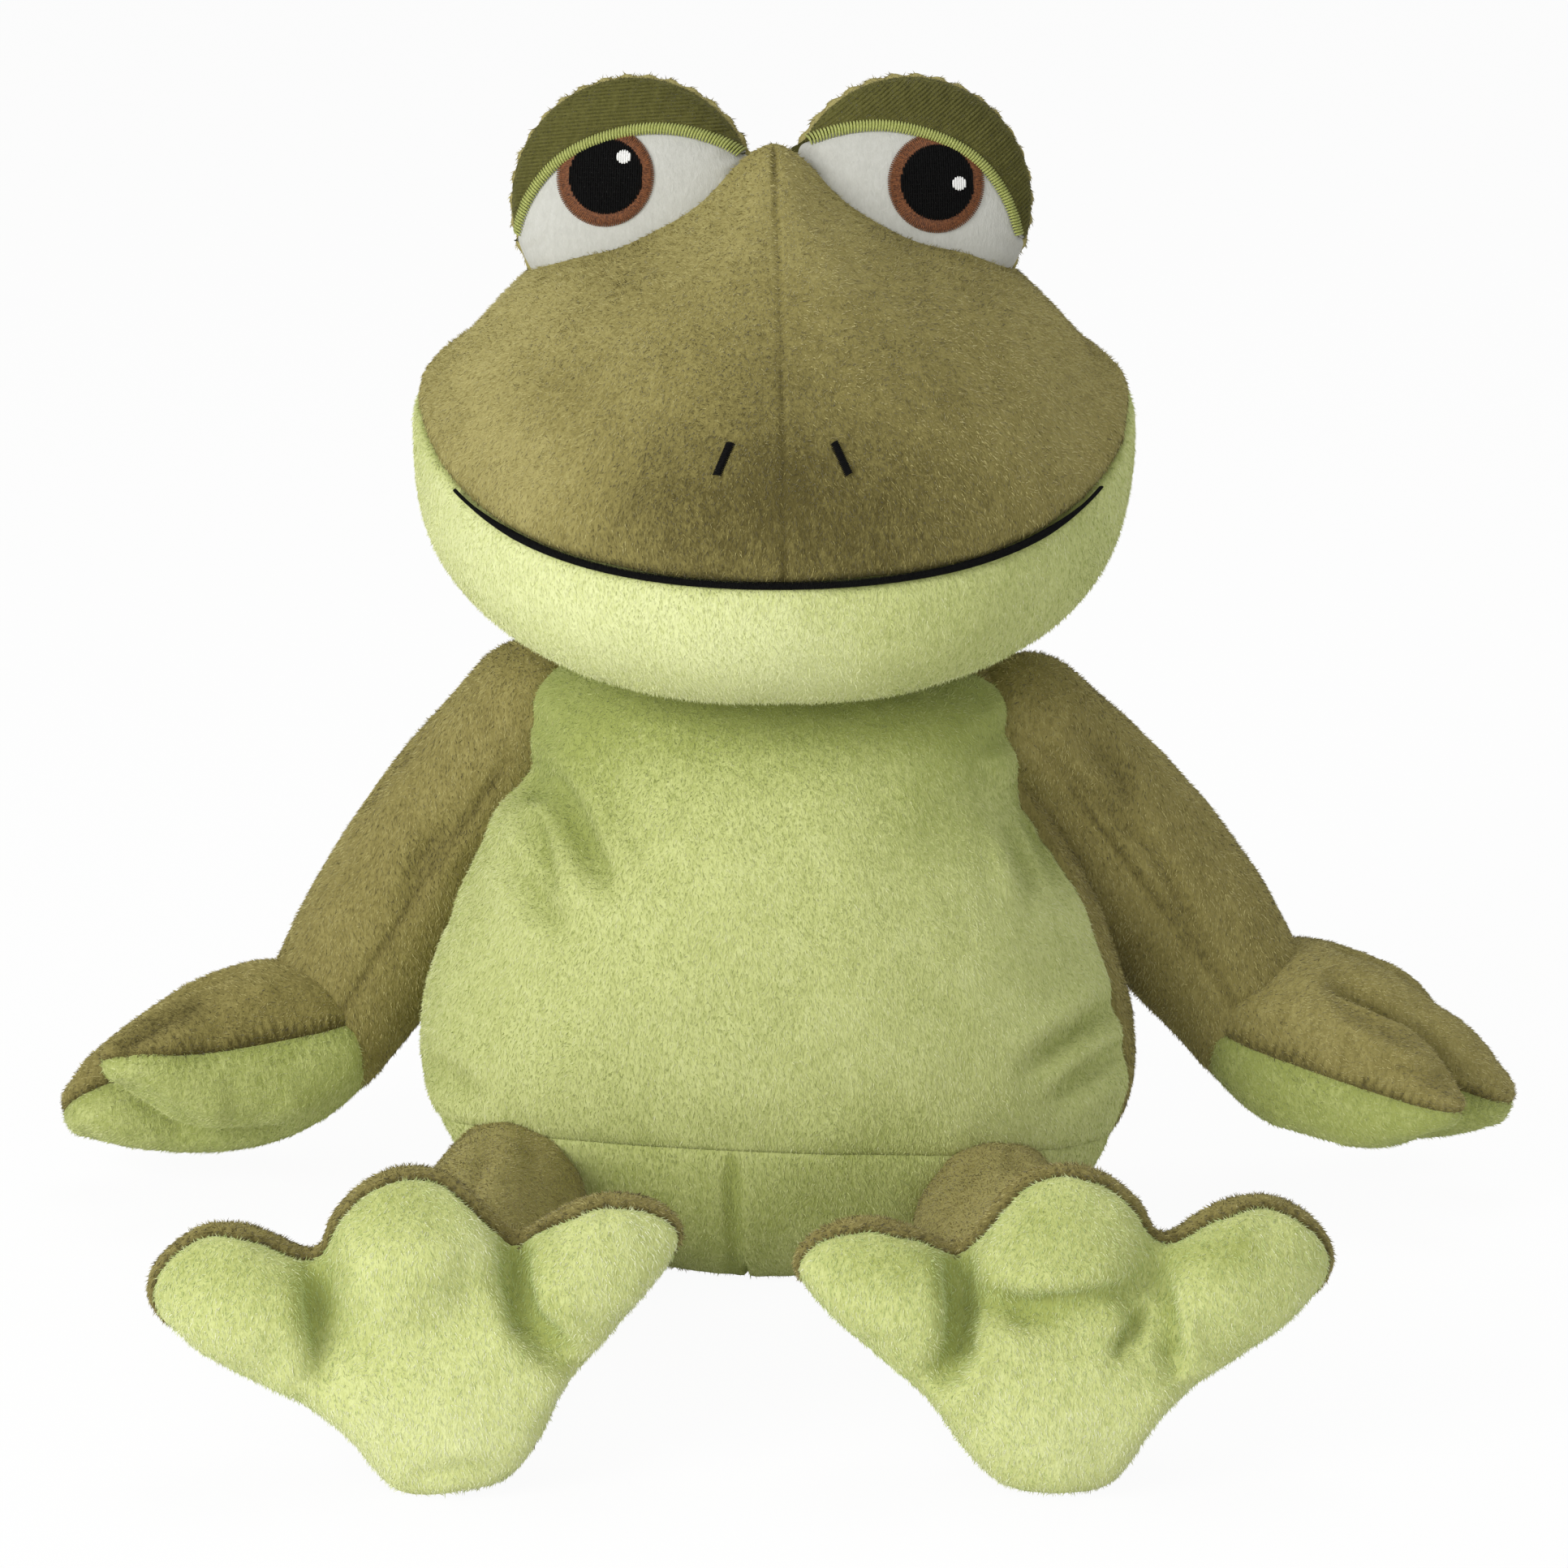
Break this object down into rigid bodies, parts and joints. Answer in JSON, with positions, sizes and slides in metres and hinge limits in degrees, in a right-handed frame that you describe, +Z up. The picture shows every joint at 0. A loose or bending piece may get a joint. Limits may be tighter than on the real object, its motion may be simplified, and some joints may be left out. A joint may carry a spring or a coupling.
{
  "type": "plush frog",
  "caption": "Seated stuffed frog with a weighted round torso, a wide head with half-closed eyes, and soft arms and legs with webbed hands and feet.",
  "frame": {"origin": "centre of the seat's flat underside, on the floor that the toy sits on", "axes": "+Z up, the frog looks along -Y, +X towards the frog's own left hand"},
  "size_m": [0.3671, 0.2597, 0.2823],
  "materials": {
    "olive_plush": "short pile plush, stuffed",
    "green_plush": "short pile plush, stuffed",
    "white_plush": "very short pile, stuffed",
    "lid_cloth": "fine ribbed embroidery",
    "bag_cloth": "plain woven bag of pellets",
    "black_thread": "satin stitch",
    "brown_thread": "satin stitch",
    "green_thread": "satin stitch",
    "white_thread": "satin stitch"
  },
  "bodies": {
    "torso": {"torso_belly": "green_plush", "torso_back": "olive_plush", "torso_seat": "green_plush", "pellet_bag": "bag_cloth"},
    "neck": {"neck": "olive_plush"},
    "head": {"head_upper": "olive_plush", "head_jaw": "green_plush", "mouth_line": "black_thread", "right_nostril": "black_thread", "left_nostril": "black_thread", "right_eye_white": "white_plush", "left_eye_white": "white_plush", "right_eyelid": "lid_cloth", "left_eyelid": "lid_cloth", "right_lid_trim": "green_thread", "left_lid_trim": "green_thread", "right_iris": "brown_thread", "left_iris": "brown_thread", "right_pupil": "black_thread", "left_pupil": "black_thread", "right_catchlight": "white_thread", "left_catchlight": "white_thread", "right_eye_back": "olive_plush", "left_eye_back": "olive_plush"},
    "right_arm": {"right_arm": "olive_plush"},
    "left_arm": {"left_arm": "olive_plush"},
    "right_hand": {"right_hand_back": "olive_plush", "right_palm": "green_plush"},
    "left_hand": {"left_hand_back": "olive_plush", "left_palm": "green_plush"},
    "right_leg": {"right_leg": "olive_plush"},
    "left_leg": {"left_leg": "olive_plush"},
    "right_foot": {"right_foot_top": "olive_plush", "right_sole": "green_plush"},
    "left_foot": {"left_foot_top": "olive_plush", "left_sole": "green_plush"}
  },
  "joints": [
    {"name": "neck_turn", "type": "hinge", "parent": "torso", "child": "neck", "pos_m": [-0.00056, -0.00396, 0.144], "axis": [0, 0, 1], "range_deg": [-15, 15], "stiffness_Nm_per_rad": 1.5},
    {"name": "head_nod", "type": "hinge", "parent": "neck", "child": "head", "pos_m": [-0.00056, -0.00396, 0.144], "axis": [1, 0, 0], "range_deg": [-8, 6], "stiffness_Nm_per_rad": 2},
    {"name": "right_shoulder", "type": "hinge", "parent": "torso", "child": "right_arm", "pos_m": [-0.05985, 0.01245, 0.127], "axis": [1, 0, 0], "range_deg": [-45, 25], "stiffness_Nm_per_rad": 0.5},
    {"name": "left_shoulder", "type": "hinge", "parent": "torso", "child": "left_arm", "pos_m": [0.06096, -0.00453, 0.127], "axis": [1, 0, 0], "range_deg": [-45, 25], "stiffness_Nm_per_rad": 0.5},
    {"name": "right_wrist", "type": "hinge", "parent": "right_arm", "child": "right_hand", "pos_m": [-0.11475, 0.02295, 0.0405], "axis": [-0.0842, 0.9709, -0.2242], "range_deg": [-20, 20], "stiffness_Nm_per_rad": 0.3},
    {"name": "left_wrist", "type": "hinge", "parent": "left_arm", "child": "left_hand", "pos_m": [0.11896, 0.01497, 0.0466], "axis": [-0.1377, -0.9808, -0.1379], "range_deg": [-20, 20], "stiffness_Nm_per_rad": 0.3},
    {"name": "right_hip", "type": "hinge", "parent": "torso", "child": "right_leg", "pos_m": [-0.06348, -0.03854, 0.019], "axis": [1, 0, 0], "range_deg": [-8, 45], "stiffness_Nm_per_rad": 0.5},
    {"name": "left_hip", "type": "hinge", "parent": "torso", "child": "left_leg", "pos_m": [0.0504, -0.05455, 0.019], "axis": [1, 0, 0], "range_deg": [-8, 45], "stiffness_Nm_per_rad": 0.5},
    {"name": "right_ankle", "type": "hinge", "parent": "right_leg", "child": "right_foot", "pos_m": [-0.07601, -0.16051, 0.02471], "axis": [1, 0, 0], "range_deg": [-15, 15], "stiffness_Nm_per_rad": 0.3},
    {"name": "left_ankle", "type": "hinge", "parent": "left_leg", "child": "left_foot", "pos_m": [0.06243, -0.16084, 0.02507], "axis": [1, 0, 0], "range_deg": [-15, 15], "stiffness_Nm_per_rad": 0.3}
  ]
}
